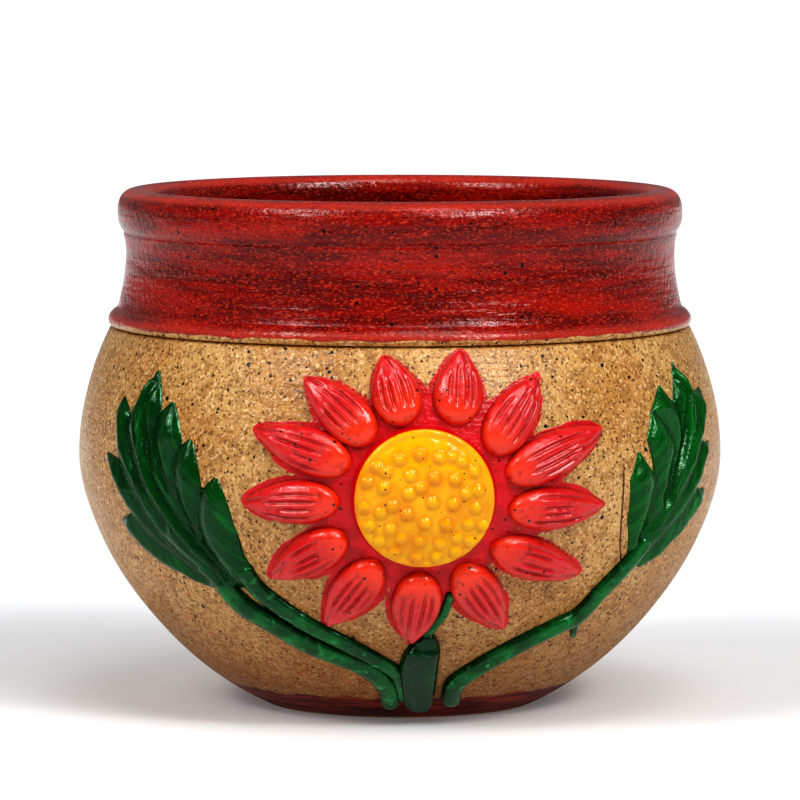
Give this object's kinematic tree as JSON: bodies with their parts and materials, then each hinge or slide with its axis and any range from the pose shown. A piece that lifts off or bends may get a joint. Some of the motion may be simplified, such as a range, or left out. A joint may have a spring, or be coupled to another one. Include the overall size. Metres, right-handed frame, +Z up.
{
  "type": "flower pot",
  "caption": "Round-bellied clay flower pot with a waisted collar, a rolled rim and a drain hole, and a sunflower between two leaves in painted relief on the front.",
  "frame": {"origin": "centre of the drain hole at the underside, on the floor plane", "axes": "+Z up along the pot's axis, the flower faces -Y"},
  "size_m": [0.3, 0.3059, 0.24],
  "materials": {
    "speckled_clay": "satin, speckled",
    "red_glaze": "glossy",
    "yellow_glaze": "glossy",
    "petal_glaze": "glossy",
    "green_glaze": "glossy"
  },
  "bodies": {
    "root": {"pot_belly": "speckled_clay", "pot_collar": "red_glaze", "flower_disc": "yellow_glaze", "petals": "petal_glaze", "left_leaf": "green_glaze", "right_leaf": "green_glaze", "left_stem": "green_glaze", "left_strand": "green_glaze", "right_stem": "green_glaze", "right_shoot": "green_glaze", "bud": "green_glaze", "flower_stalk": "green_glaze"}
  },
  "joints": []
}
